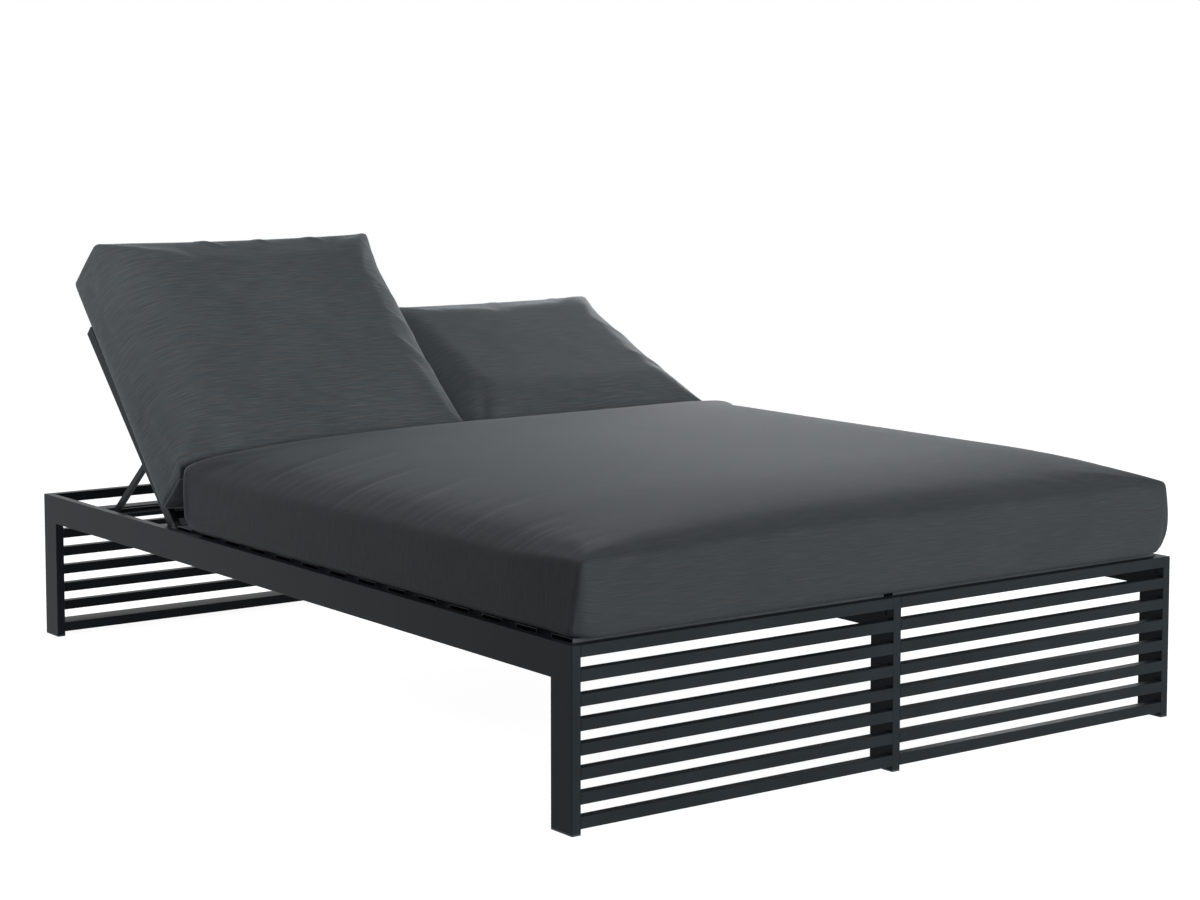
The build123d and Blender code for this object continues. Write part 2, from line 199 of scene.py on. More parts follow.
# One powder coat in two painted copies: the rails' copy is darker, painted shade, and the slats'
# copy is lighter, painted light.
frame_anthracite_painted_shade = (0.0165, 0.0209, 0.0244)
slat_anthracite_painted_light = (0.0560, 0.0650, 0.0730)
frame_coat = powder_coat("frame_powder_coat_painted_shade", frame_anthracite_painted_shade, roughness=0.40, shine=0.06)
slat_coat = powder_coat("slat_powder_coat_painted_light", slat_anthracite_painted_light, roughness=0.45, shine=0.22)
print("coats", frame_coat.name, slat_coat.name)

# %% [markdown]
# ## Plastic and fixings
# The foot caps and the round ends of the back rest bars are moulded plastic with a fine spark
# texture. Bolts and washers are stainless steel, turned, so their grain runs round the axis.

# %% Plastic and steel
spark_scale = (1400.0, 1400.0, 1400.0)
spark_depth = 0.00015
# A turned piece's axis lies along x, so its grain is fine that way and long round the axis.
turning_scale = (2500.0, 180.0, 180.0)
plastic_black = (0.012, 0.0125, 0.0135)
steel_dark = (0.30, 0.31, 0.32)
steel_light = (0.46, 0.47, 0.48)


def moulded_plastic(name, colour):
    material, tree, shader = new_material(name)
    place = add(tree, "ShaderNodeTexCoord")
    spark = pattern(tree, "ShaderNodeTexVoronoi", place, "Object", spark_scale)
    wear = add(tree, "ShaderNodeTexNoise", Scale=60.0, Detail=3.0)
    link(tree, place, "Object", wear, "Vector")
    tint = ramp(tree, wear, "Fac", [(0.35, colour), (0.75, times(colour, 1.35))])
    link(tree, tint, "Color", shader, "Base Color")
    bumps = add(tree, "ShaderNodeBump", Strength=0.25, Distance=spark_depth)
    link(tree, spark, "Distance", bumps, "Height")
    link(tree, bumps, "Normal", shader, "Normal")
    shader.inputs["Roughness"].default_value = 0.58
    return material


def turned_steel(name):
    material, tree, shader = new_material(name)
    place = add(tree, "ShaderNodeTexCoord")
    lines = pattern(tree, "ShaderNodeTexNoise", place, "Object", turning_scale, Detail=3.0)
    tint = ramp(tree, lines, "Fac", [(0.3, steel_dark), (0.7, steel_light)])
    link(tree, tint, "Color", shader, "Base Color")
    gloss = add(tree, "ShaderNodeMapRange")
    gloss.inputs["To Min"].default_value = 0.24
    gloss.inputs["To Max"].default_value = 0.42
    link(tree, lines, "Fac", gloss, "Value")
    link(tree, gloss, "Result", shader, "Roughness")
    shader.inputs["Metallic"].default_value = 1.0
    return material


dark_plastic = moulded_plastic("moulded_plastic", plastic_black)
steel_fixings = turned_steel("turned_steel")

# %% [markdown]
# ## Finishing the metalwork
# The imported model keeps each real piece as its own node, and the record says what each is made
# of. So the finish follows the record's slots: one loop gives every node its material.

# %% Finish the nodes
slot_finish = {
    "frame_coat": frame_coat,
    "slat_coat": slat_coat,
    "dark_plastic": dark_plastic,
    "steel_fixings": steel_fixings,
}


def finish_nodes():
    count = 0
    for part in frame["record"]["subparts"]:
        finish = slot_finish.get(part["material_slot"])
        if finish is None:
            continue
        node = frame["nodes"][part["node"]]
        node.data.materials.clear()
        node.data.materials.append(finish)
        count += 1
    return count


print("finished nodes", finish_nodes())

# %% [markdown]
# ## The cloth
# The covers are a solution-dyed outdoor weave. Its weft yarns change shade along their length, so
# the cloth shows thin streaks a few centimetres long that run across the lounger, with a trace of
# brown and teal. The pattern follows a UV map in metres, named weave, that wraps each cushion as
# its cover does: the streaks run on over the sides. Over it lie the tiny crossings of the yarns.
# Sheen stands for the fibre ends, which catch the light where the cloth turns away. The covers are
# lit and shaded copies of one cloth: the back cushions' copy is painted lighter, painted light; the
# mattress, seen at a low angle, has a darker copy with less sheen, painted shade; and the thin seam
# lips have a much lighter one with more sheen, a painted highlight.

# %% Cloth material
weave_uv = "weave"
cloth_dark = (0.034, 0.039, 0.043)
cloth_mid = (0.055, 0.062, 0.067)
cloth_light = (0.090, 0.099, 0.105)
yarn_brown = (0.092, 0.080, 0.070)
yarn_teal = (0.040, 0.066, 0.072)
# Each layer of streaks: cells in a metre along and across the weft, detail, and its own place
weft_layer = (16.0, 420.0, 3.0, 3.1)
shade_layer = (9.0, 120.0, 2.0, 7.7)
cloud_layer = (5.0, 5.0, 2.0, 1.3)
weft_scale = (350.0, 210.0, 1.0)
warp_scale = (210.0, 350.0, 1.0)
yarn_depth = 0.0004
sheen_tint = (0.80, 0.88, 0.95, 1.0)


def streaks(tree, uv, along, across, detail, seed):
    scale, shift = (along, across, 1.0), (seed, seed * 2.0, 0.0)
    noise = "ShaderNodeTexNoise"
    return pattern(tree, noise, uv, "UV", scale, shift=shift, Detail=detail, Roughness=0.6)


def between(first, second, share):
    return tuple(a + (b - a) * share for a, b in zip(first, second))


def yarn(colour, contrast, painted_light_scale):
    """A yarn's colour: its share of the difference from the middle one, then lighter or darker by
    the painted light scale.
    """
    return times(between(cloth_mid, colour, contrast), painted_light_scale)


def yarn_crossings(tree, uv):
    """Height of the tiny crossings of weft and warp."""
    wave = "ShaderNodeTexWave"
    weft = pattern(tree, wave, uv, "UV", weft_scale, {"bands_direction": "Y"}, Distortion=0.6)
    warp = pattern(tree, wave, uv, "UV", warp_scale, {"bands_direction": "X"}, Distortion=0.6)
    crossing = add(tree, "ShaderNodeMath", {"operation": "MULTIPLY"})
    link(tree, weft, "Fac", crossing, 0)
    link(tree, warp, "Fac", crossing, 1)
    return crossing


def cloth_colour(tree, uv, contrast, painted_light_scale, long_streaks, crossing):
    """Streaks of three shades, a trace of teal and brown, soft clouds, and darker crossings."""
    dark = yarn(cloth_dark, contrast, painted_light_scale)
    middle = yarn(cloth_mid, contrast, painted_light_scale)
    light = yarn(cloth_light, contrast, painted_light_scale)
    teal = yarn(yarn_teal, contrast, painted_light_scale)
    brown = yarn(yarn_brown, contrast, painted_light_scale)
    base = ramp(tree, long_streaks, "Fac", [(0.32, dark), (0.5, middle), (0.68, light)])
    shade = streaks(tree, uv, *shade_layer)
    shade_stops = [(0.30, teal), (0.45, middle), (0.58, middle), (0.72, brown)]
    shades = ramp(tree, shade, "Fac", shade_stops)
    colour = mix_colours(tree, "MIX", 0.45, base.outputs["Color"], shades.outputs["Color"])
    cloud = streaks(tree, uv, *cloud_layer)
    clouds = ramp(tree, cloud, "Fac", [(0.3, grey(0.93)), (0.7, grey(1.07))])
    colour = mix_colours(tree, "MULTIPLY", 1.0, colour, clouds.outputs["Color"])
    pick = ramp(tree, crossing, "Value", [(0.0, grey(0.82)), (0.6, grey(1.12))])
    return mix_colours(tree, "MULTIPLY", 0.8, colour, pick.outputs["Color"])


def cloth_material(name, contrast, painted_light_scale, sheen):
    """The woven cover. A contrast of 1 shows the streaks in full, and 0 a plain cloth. A painted
    light scale above 1 paints light into the colour, and one below 1 paints shade.
    """
    material, tree, shader = new_material(name)
    uv = add(tree, "ShaderNodeUVMap", {"uv_map": weave_uv})
    long_streaks = streaks(tree, uv, *weft_layer)
    crossing = yarn_crossings(tree, uv)
    colour = cloth_colour(tree, uv, contrast, painted_light_scale, long_streaks, crossing)
    tree.links.new(colour, shader.inputs["Base Color"])
    slub = add(tree, "ShaderNodeMath", {"operation": "ADD"})
    link(tree, crossing, "Value", slub, 0)
    link(tree, long_streaks, "Fac", slub, 1)
    yarns = add(tree, "ShaderNodeBump", Strength=0.35, Distance=yarn_depth)
    link(tree, slub, "Value", yarns, "Height")
    link(tree, yarns, "Normal", shader, "Normal")
    shader.inputs["Roughness"].default_value = 0.86
    shader.inputs["Specular IOR Level"].default_value = 0.25
    shader.inputs["Sheen Weight"].default_value = sheen
    shader.inputs["Sheen Roughness"].default_value = 0.30
    shader.inputs["Sheen Tint"].default_value = sheen_tint
    return material


# Copies of one cloth that differ only by painted light: lighter on the back cushions, darker on the
# mattress as painted shade, and much lighter on the seam lips as a painted highlight.
cloth = cloth_material("heathered_weave", contrast=1.0, painted_light_scale=1.46, sheen=0.26)
mattress_cloth_painted_shade = cloth_material("heathered_weave_painted_shade", contrast=0.6, painted_light_scale=0.66, sheen=0.08)
lip_cloth_painted_highlight = cloth_material("heathered_weave_lip_painted_highlight", contrast=0.3, painted_light_scale=3.4, sheen=1.0)
print("cloths", cloth.name, mattress_cloth_painted_shade.name, lip_cloth_painted_highlight.name)

# %% [markdown]
# ## A boxed cushion as a grid
# A boxed cushion is two panels and a strip between them, sewn along two seams. The mesh is made
# the same way, as the six faces of a lattice whose rows follow the seams, because then a seam is
# simply a loop of the grid: it can be tightened in the simulation and sewn along afterwards.

# %% Lattice shell
def lattice_shell(nx, ny, nz):
    """Surface points of a lattice, as integer steps, and outward quads over its six faces."""
    index = {}
    steps = []

    def point(i, j, k):
        key = (i, j, k)
        if key not in index:
            index[key] = len(steps)
            steps.append(key)
        return index[key]

    quads = []

    def quad(*corners):
        quads.append([point(*corner) for corner in corners])

    for i in range(nx):
        for j in range(ny):
            quad((i, j, nz), (i + 1, j, nz), (i + 1, j + 1, nz), (i, j + 1, nz))
            quad((i, j, 0), (i, j + 1, 0), (i + 1, j + 1, 0), (i + 1, j, 0))
    for i in range(nx):
        for k in range(nz):
            quad((i, 0, k), (i + 1, 0, k), (i + 1, 0, k + 1), (i, 0, k + 1))
            quad((i, ny, k), (i, ny, k + 1), (i + 1, ny, k + 1), (i + 1, ny, k))
    for j in range(ny):
        for k in range(nz):
            quad((0, j, k), (0, j, k + 1), (0, j + 1, k + 1), (0, j + 1, k))
            quad((nx, j, k), (nx, j + 1, k), (nx, j + 1, k + 1), (nx, j, k + 1))
    return np.array(steps), quads


def shoulder(distance, reach, power=2.0):
    """Rise of a rounded shoulder: 0 and upright at the edge, 1 and level from the reach inwards."""
    share = np.clip(distance / reach, 0.0, 1.0)
    return (1.0 - (1.0 - share) ** power) ** (1.0 / power)


def smooth_step(value):
    value = np.clip(value, 0.0, 1.0)
    return value * value * (3.0 - 2.0 * value)


def crowd_to_edges(share, amount):
    """Grid lines from -1 to 1, drawn together towards both ends."""
    return (1.0 - amount) * share + amount * np.sin(share * math.pi / 2)


# %% [markdown]
# ## The cushion's form
# All three covers are sleeves: one cloth goes over the top and both sides without a seam, and a
# flat panel closes each end. So the form is a section that changes along the cushion. Each side
# stands upright up to a rim, then turns over a wide shoulder into the crown. Near an end the rim
# climbs, because the flat end panel holds the corner out, which gives the pointed corners. The
# crown itself drops a little towards each end, and the outline draws in between the corners.
#
# A cushion's sizes are a table in metres. Left and right are its sides, and its low and high ends
# are those at the smaller and the larger y: the foot end and the head end. Each size is used in
# one of three steps: the height of the crown, the height of the hem, and how far the sides stand
# in from a plain box.

# %% Cushion form
# Two reaches in metres, and then shares and powers
corner_rise_reach = 0.055
foot_pull_reach = 0.22
foot_pull_at_hem = 0.25
swell_power = 0.55
corner_closing = 0.7
edge_share = 0.999999


def by_side(size, x, key):
    """A size that differs between the left and the right side."""
    return np.where(x < 0, size[key + "_left"], size[key + "_right"])


def by_end(size, y, before, after):
    """A size that differs between the low and the high end."""
    return np.where(y < 0, size[before], size[after])


def crown_height(size, x, y):
    """Height of the upper surface over the plan."""
    edge_y = size["half_y"] - np.abs(y)
    drop = by_end(size, y, "low_end_drop", "high_end_drop")
    end_reach = by_end(size, y, "low_end_reach", "high_end_reach")
    turn = shoulder(edge_y, end_reach, size["end_power"])
    crest = size["crest"] - drop * (1.0 - turn)
    rim = by_side(size, x, "rim")
    lift = np.where(y < 0, by_side(size, x, "low_end_lift"), size["high_end_lift"])
    lift_reach = by_end(size, y, "low_lift_reach", "high_lift_reach")
    rim = rim + lift * (1.0 - smooth_step(edge_y / lift_reach))
    rim = np.minimum(rim, crest)
    reach = by_side(size, x, "shoulder")
    edge_x = size["half_x"] - np.abs(x)
    return rim + (crest - rim) * shoulder(edge_x, reach, size["shoulder_power"])


def hem_height(size, x, y):
    """Height of the lower edge: it hangs lower at the low end and rises at the corners."""
    from_low_end = smooth_step((size["half_y"] + y) / size["low_rim_reach"])
    lower = size["low_rim_end"] + (size["low_rim"] - size["low_rim_end"]) * from_low_end
    from_corner = np.hypot(size["half_x"] - np.abs(x), size["half_y"] - np.abs(y))
    rise = 1.0 - smooth_step(from_corner / corner_rise_reach)
    return lower + by_side(size, x, "corner_rise") * rise


def inward_bow(size, x, y, sigma, tau, rho):
    """How far each side stands in from the box: by a draw-in, a pull at the foot and a taper."""
    near_side = np.abs(sigma) ** 3
    bow = by_side(size, x, "draw_in") * (1.0 - tau**2) * near_side
    hem_share = foot_pull_at_hem + (1.0 - foot_pull_at_hem) * rho
    pull = np.where(x < 0, size["left_foot_pull"] * hem_share, size["right_foot_pull"])
    pull = pull * near_side
    bow = bow + pull * (1.0 - smooth_step((size["half_y"] + y) / foot_pull_reach))
    bow = bow + by_side(size, x, "taper") * 0.5 * (tau - 1.0) * near_side
    high_out = np.where(x < 0, size["high_out_left"], 0.0)
    return bow - high_out * smooth_step(0.5 + 0.5 * tau) * near_side


def round_corners(x, y, half_x, half_y, corner):
    """Plan distances moved in so that the four corners of the outline are rounded."""
    qx = np.clip((np.abs(x) - (half_x - corner)) / corner, 0.0, 1.0)
    qy = np.clip((np.abs(y) - (half_y - corner)) / corner, 0.0, 1.0)
    length = np.maximum(np.hypot(qx, qy), 1e-9)
    shrink = np.where((qx > 0) & (qy > 0), np.maximum(qx, qy) / length, 1.0)
    ax = np.where(qx > 0, half_x - corner + corner * qx * shrink, np.abs(x))
    ay = np.where(qy > 0, half_y - corner + corner * qy * shrink, np.abs(y))
    return ax, ay


def grid_shares(steps, counts, size):
    """Places on the grid as shares: -1 to 1 across and along, and 0 to 1 upwards."""
    nx, ny, nz = counts
    sigma = crowd_to_edges(2.0 * steps[:, 0] / nx - 1.0, size["crowd_x"])
    tau = crowd_to_edges(2.0 * steps[:, 1] / ny - 1.0, size["crowd_y"])
    return sigma, tau, steps[:, 2] / nz


def cushion_form(steps, counts, size):
    sigma, tau, rho = grid_shares(steps, counts, size)
    half_x, half_y = size["half_x"], size["half_y"]
    x = half_x * sigma
    y = half_y * tau
    upper = crown_height(size, x, y)
    lower = hem_height(size, x, y)
    under_x = shoulder(half_x - np.abs(x), size["under_reach"])
    under_y = shoulder(half_y - np.abs(y), size["under_reach"])
    under = (lower - size["base"]) * under_x * under_y
    z = lower + (upper - lower) * rho - np.where(rho == 0.0, under, 0.0)
    belly = size["belly"] * np.sin(math.pi * rho)
    swell = np.where(x < 0, 0.0, size["low_swell_right"])
    swell = swell * np.sin(math.pi * rho**swell_power)
    on_x = np.abs(sigma) > edge_share
    on_y = np.abs(tau) > edge_share
    bow_x = inward_bow(size, x, y, sigma, tau, rho)
    bow_y = size["draw_in_ends"] * (1.0 - sigma**2) * np.abs(tau) ** 3
    low_corner = size["low_corner"] * (1.0 - corner_closing * rho)
    corner = np.where(y < 0, low_corner, size["high_corner"])
    ax, ay = round_corners(x, y, half_x, half_y, corner)
    x = np.sign(x) * (ax - bow_x + np.where(on_x, belly + swell, 0.0))
    y = np.sign(y) * (ay - bow_y + np.where(on_y, belly, 0.0))
    return np.column_stack([x, y, z])


def side_drop(step, count, drop):
    """A side's own share of the cloth, as it hangs down from the first or the last row."""
    return np.where(step == 0, -drop, 0.0) + np.where(step == count, drop, 0.0)


def weave_coordinates(steps, counts, size):
    """Weave coordinates in metres, which run on over the sides as the cover does."""
    nx, ny = counts[:2]
    sigma, tau, rho = grid_shares(steps, counts, size)
    drop = (1.0 - rho) * (size["crest"] - size["low_rim"])
    along = size["half_x"] * sigma + side_drop(steps[:, 0], nx, drop)
    across = size["half_y"] * tau + side_drop(steps[:, 1], ny, drop)
    return np.column_stack([along, across])


def show_in_scene(name, mesh):
    shown = bpy.data.objects.new(name, mesh)
    bpy.context.scene.collection.objects.link(shown)
    return shown


def smooth_faces(mesh):
    mesh.polygons.foreach_set("use_smooth", [True] * len(mesh.polygons))


def lay_weave(mesh, weave):
    """Write weave coordinates, one for each point, to the mesh's own map."""
    layer = mesh.uv_layers.new(name=weave_uv)
    corners = np.zeros(len(mesh.loops), dtype=np.int64)
    mesh.loops.foreach_get("vertex_index", corners)
    layer.data.foreach_set("uv", weave[corners].ravel())


def cushion_mesh(name, counts, size):
    steps, quads = lattice_shell(*counts)
    points = cushion_form(steps, counts, size)
    mesh = bpy.data.meshes.new(name)
    mesh.from_pydata(points.tolist(), [], quads)
    lay_weave(mesh, weave_coordinates(steps, counts, size))
    smooth_faces(mesh)
    return show_in_scene(name, mesh), steps


# %% [markdown]
# ## Filling the cushion
# Real covers pucker because the seam is pulled tighter than the panels. Blender's cloth does the
# same: the seam loops shrink by one percent or so while a light pressure fills the cover, and the
# spare cloth gathers into short folds. Foam keeps a cushion's shape, so each point may only move
# a little way from the form, and the underside, which lies on slats, stays where it is.

# %% Cloth simulation
sim_frames = 20
cloth_settings = {
    "quality": 6,
    "mass": 0.3,
    "tension_stiffness": 25.0,
    "compression_stiffness": 12.0,
    "shear_stiffness": 8.0,
    "bending_stiffness": 0.5,
    "air_damping": 2.0,
    "use_pressure": True,
    "vertex_group_mass": "held",
    "pin_stiffness": 1.0,
    "vertex_group_shrink": "seams",
    "shrink_min": 0.0,
}


def is_seam(steps, counts):
    """The outlines of the two end panels."""
    nx, ny, nz = counts
    on_end = (steps[:, 1] == 0) | (steps[:, 1] == ny)
    on_side = (steps[:, 0] == 0) | (steps[:, 0] == nx)
    on_rim = (steps[:, 2] == 0) | (steps[:, 2] == nz)
    return on_end & (on_side | on_rim)


def vertex_array(mesh, what="co"):
    flat = np.zeros(len(mesh.vertices) * 3)
    mesh.vertices.foreach_get(what, flat)
    return flat.reshape(-1, 3)


def make_group(cushion, name, mask):
    group = cushion.vertex_groups.new(name=name)
    group.add([int(i) for i in np.nonzero(mask)[0]], 1.0, "ADD")


def add_cover_cloth(cushion, pressure, seam_shrink):
    modifier = cushion.modifiers.new("cover", "CLOTH")
    settings = modifier.settings
    for key, value in cloth_settings.items():
        setattr(settings, key, value)
    settings.uniform_pressure_force = pressure
    settings.shrink_max = seam_shrink
    settings.effector_weights.gravity = 0.0
    modifier.collision_settings.use_collision = False
    modifier.point_cache.frame_start = 1
    modifier.point_cache.frame_end = sim_frames
    return modifier


def puffed_points(cushion):
    """Where the simulation leaves each point after its last frame."""
    scene = bpy.context.scene
    for step in range(1, sim_frames + 1):
        scene.frame_set(step)
    puffed = cushion.evaluated_get(bpy.context.evaluated_depsgraph_get())
    points = vertex_array(puffed.to_mesh())
    puffed.to_mesh_clear()
    return points


def fill_with_air(cushion, steps, counts, pressure, seam_shrink, cap):
    """Puff the cover. No point moves further from the form than the cap, in metres."""
    rest = vertex_array(cushion.data)
    make_group(cushion, "seams", is_seam(steps, counts))
    make_group(cushion, "held", (steps[:, 2] == 0) & (~is_seam(steps, counts)))
    modifier = add_cover_cloth(cushion, pressure, seam_shrink)
    travel = puffed_points(cushion) - rest
    cushion.modifiers.remove(modifier)
    bpy.context.scene.frame_set(1)
    length = np.linalg.norm(travel, axis=1)
    keep = cap * np.tanh(length / cap) / np.maximum(length, 1e-9)
    cushion.data.vertices.foreach_set("co", (rest + travel * keep[:, None]).ravel())
    cushion.data.update()
    cushion.vertex_groups.clear()
    furthest = round(float(length.max()) * 1000, 1)
    print(cushion.name, "would move", furthest, "mm at most, cap", cap * 1000)


def subdivide(cushion):
    """One subdivision, applied, so that the grid's facets round off."""
    finer = cushion.modifiers.new("round", "SUBSURF")
    finer.levels = 1
    finer.render_levels = 1
    shown = cushion.evaluated_get(bpy.context.evaluated_depsgraph_get())
    mesh = bpy.data.meshes.new_from_object(shown)
    cushion.modifiers.remove(finer)
    cushion.data = mesh


# %% [markdown]
# ## Folds that tell a story
# Some folds in the photograph are not chance. The mattress cover was pulled towards the rear and
# gathers along its left edge; the left back cushion sags, which creases its right edge; the right
# one is pressed into the mattress and dents. Each fold runs from one place to another on the
# cushion, with one gentle slope and one steep one, and moves the surface along its own normal. A
# fold with a height above zero is a ridge, and one below zero a furrow.

# %% Folds
gentle_slope = 1.8
steep_slope = 0.8
fold_end_power = 0.8
fold_start_width = 0.55
fold_width_gain = 0.6
fold_blend_height = 0.018
gather_overlap = 0.02
gather_reaches = (0.07, 0.20)
gather_slants = (0.15, 0.40)
gather_depths = (0.0003, 0.0010)
gather_widths = (0.006, 0.011)
gather_steps = (0.65, 1.4)


def fold_profile(distance, width):
    """Height across a fold: a gentle slope before its crest and a steep one behind it."""
    before = np.exp(-((distance / (gentle_slope * width)) ** 2))
    behind = np.exp(-((distance / (steep_slope * width)) ** 2))
    return np.where(distance < 0.0, before, behind)


def fold_rise(points, start, end, height, width):
    """Rise of each point from one fold, which fades at both ends and is wider at the far one."""
    run = np.array(end) - np.array(start)
    length = float(np.hypot(*run))
    along = run / length
    relative = points[:, :2] - np.array(start)
    share = relative @ along / length
    away = relative @ np.array([-along[1], along[0]])
    fade = np.sin(math.pi * np.clip(share, 0.0, 1.0)) ** fold_end_power
    spread = width * (fold_start_width + fold_width_gain * np.clip(share, 0.0, 1.0))
    return height * fade * fold_profile(away * np.sign(height), spread)


def add_folds(cushion, folds, lowest):
    """Raise each fold on the part of the cushion above the lowest level."""
    mesh = cushion.data
    points = vertex_array(mesh)
    normals = vertex_array(mesh, "normal")
    rise = np.zeros(len(points))
    for fold in folds:
        rise += fold_rise(points, *fold)
    rise *= smooth_step((points[:, 2] - lowest) / fold_blend_height)
    mesh.vertices.foreach_set("co", (points + normals * rise[:, None]).ravel())
    mesh.update()


def gathers(x_edge, y_from, y_to, pitch, seed):
    """Fine gathers along a left edge: short furrows that run inwards and a little to the rear."""
    chance = np.random.default_rng(seed)
    folds = []
    x_start = x_edge - gather_overlap
    y = y_from
    while y < y_to:
        reach = chance.uniform(*gather_reaches)
        slant = chance.uniform(*gather_slants) * reach
        height = -chance.uniform(*gather_depths)
        width = chance.uniform(*gather_widths)
        folds.append(((x_start, y), (x_edge + reach, y + slant), height, width))
        y += pitch * chance.uniform(*gather_steps)
    return folds


# %% [markdown]
# ## Seam lips
# Where the sleeve meets an end panel the two edges are turned in and sewn, which leaves a narrow
# lip of folded cloth along the outline of the panel. It is only a few millimetres wide, but it
# catches the light as a thin pale line, which is painted into its cloth as a painted highlight. It
# is swept along the seam's own row of points, so it follows every pucker that the filling made.

# %% Seam lips
# Half the lip's width lies in the end panel's plane, and half its thickness across that plane.
lip_half_width = 0.0022
lip_half_thickness = 0.0012
lip_sides = 8
lip_weave_step = 0.001


def seam_rows(steps, counts, end):
    """Indices of the outline of one end panel, in order round the panel."""
    nx, ny, nz = counts
    lookup = {tuple(step): i for i, step in enumerate(steps.tolist())}
    j = ny if end > 0 else 0
    over = [(i, j, nz) for i in range(nx)]
    down = [(nx, j, k) for k in range(nz, 0, -1)]
    back = [(i, j, 0) for i in range(nx, 0, -1)]
    up = [(0, j, k) for k in range(nz)]
    return [lookup[step] for step in over + down + back + up]


def closed_tangents(path):
    ahead = np.roll(path, -1, axis=0) - np.roll(path, 1, axis=0)
    return ahead / np.linalg.norm(ahead, axis=1)[:, None]


def outward_in_panel(path, tangents):
    """Directions that lie in the end panel and point out of its outline."""
    outward = np.cross(tangents, np.array([0.0, 1.0, 0.0]))
    outward = outward / np.linalg.norm(outward, axis=1)[:, None]
    away = np.sum(outward * (path - path.mean(axis=0)), axis=1)
    return outward * np.sign(away.mean())


def seam_lip(name, path, half_width, half_thickness, sides):
    """Closed flat tube along a seam."""
    tangents = closed_tangents(path)
    outward = outward_in_panel(path, tangents)
    across = np.cross(tangents, outward)
    count = len(path)
    rings = []
    for side in range(sides):
        turn = 2.0 * math.pi * side / sides
        out = outward * half_width * math.cos(turn)
        rings.append(path + out + across * half_thickness * math.sin(turn))
    points = np.stack(rings, axis=1).reshape(-1, 3)
    quads = []
    for i in range(count):
        for side in range(sides):
            here, there = i * sides, ((i + 1) % count) * sides
            turn = (side + 1) % sides
            quads.append([here + side, there + side, there + turn, here + turn])
    mesh = bpy.data.meshes.new(name)
    mesh.from_pydata(points.tolist(), [], quads)
    gone = np.cumsum(np.linalg.norm(np.diff(path, axis=0), axis=1))
    lengths = np.repeat(np.concatenate([[0.0], gone]), sides)
    around = np.tile(np.arange(sides) * lip_weave_step, count)
    lay_weave(mesh, np.column_stack([lengths, around]))
    smooth_faces(mesh)
    mesh.materials.append(lip_cloth_painted_highlight)
    return show_in_scene(name, mesh)


# %% [markdown]
# ## Stitching
# A row of thread runs beside each seam. Hundreds of equal stitches are what Geometry Nodes is
# for: one stitch is modelled once, the row is a polyline laid on the cloth, and the nodes place a
# stitch at every step, turned along the row. Realize Instances makes them one mesh, so the result
# is plain geometry that keeps no modifier.

# %% Stitches
stitch_pitch = 0.0050
stitch_length = 0.0034
stitch_radius = 0.00045
stitch_inset = 0.006
twist_scale = (900.0, 900.0, 900.0)
thread_dark = (0.030, 0.034, 0.038)
thread_light = (0.070, 0.078, 0.084)


def thread_material(name):
    material, tree, shader = new_material(name)
    place = add(tree, "ShaderNodeTexCoord")
    diagonal = {"bands_direction": "DIAGONAL"}
    twist = pattern(tree, "ShaderNodeTexWave", place, "Object", twist_scale, diagonal)
    tint = ramp(tree, twist, "Fac", [(0.2, thread_dark), (0.8, thread_light)])
    link(tree, tint, "Color", shader, "Base Color")
    ply = add(tree, "ShaderNodeBump", Strength=0.4, Distance=0.0001)
    link(tree, twist, "Fac", ply, "Height")
    link(tree, ply, "Normal", shader, "Normal")
    shader.inputs["Roughness"].default_value = 0.5
    return material


thread = thread_material("sewing_thread")


stitch_kinds = {
    "start": "NodeGroupInput",
    "end": "NodeGroupOutput",
    "curve": "GeometryNodeMeshToCurve",
    "even": "GeometryNodeResampleCurve",
    "ball": "GeometryNodeMeshUVSphere",
    "place": "GeometryNodeInstanceOnPoints",
    "tangent": "GeometryNodeInputTangent",
    "turn": "FunctionNodeAlignRotationToVector",
    "half": "ShaderNodeMath",
    "size": "ShaderNodeCombineXYZ",
    "real": "GeometryNodeRealizeInstances",
    "dress": "GeometryNodeSetMaterial",
}
stitch_links = [
    ("start", "Geometry", "curve", "Mesh"),
    ("curve", "Curve", "even", "Curve"),
    ("start", "Pitch", "even", "Length"),
    ("even", "Curve", "place", "Points"),
    ("ball", "Mesh", "place", "Instance"),
    ("tangent", "Tangent", "turn", "Vector"),
    ("turn", "Rotation", "place", "Rotation"),
    ("start", "Length", "half", 0),
    ("start", "Radius", "size", "X"),
    ("start", "Radius", "size", "Y"),
    ("half", "Value", "size", "Z"),
    ("size", "Vector", "place", "Scale"),
    ("place", "Instances", "real", "Geometry"),
    ("real", "Geometry", "dress", "Geometry"),
    ("start", "Thread", "dress", "Material"),
    ("dress", "Geometry", "end", "Geometry"),
]


def stitch_nodes(name):
    """Node group: a stitch at every step of a polyline, turned along it, as one mesh."""
    group = bpy.data.node_groups.new(name, "GeometryNodeTree")
    face = group.interface
    face.new_socket("Geometry", in_out="INPUT", socket_type="NodeSocketGeometry")
    face.new_socket("Geometry", in_out="OUTPUT", socket_type="NodeSocketGeometry")
    for label in ("Pitch", "Length", "Radius"):
        face.new_socket(label, in_out="INPUT", socket_type="NodeSocketFloat")
    face.new_socket("Thread", in_out="INPUT", socket_type="NodeSocketMaterial")
    nodes = {key: group.nodes.new(kind) for key, kind in stitch_kinds.items()}
    nodes["even"].mode = "LENGTH"
    nodes["ball"].inputs["Segments"].default_value = 6
    nodes["ball"].inputs["Rings"].default_value = 4
    nodes["ball"].inputs["Radius"].default_value = 1.0
    nodes["turn"].axis = "Z"
    nodes["half"].operation = "MULTIPLY"
    nodes["half"].inputs[1].default_value = 0.5
    for source, output, target, socket in stitch_links:
        link(group, nodes[source], output, nodes[target], socket)
    return group


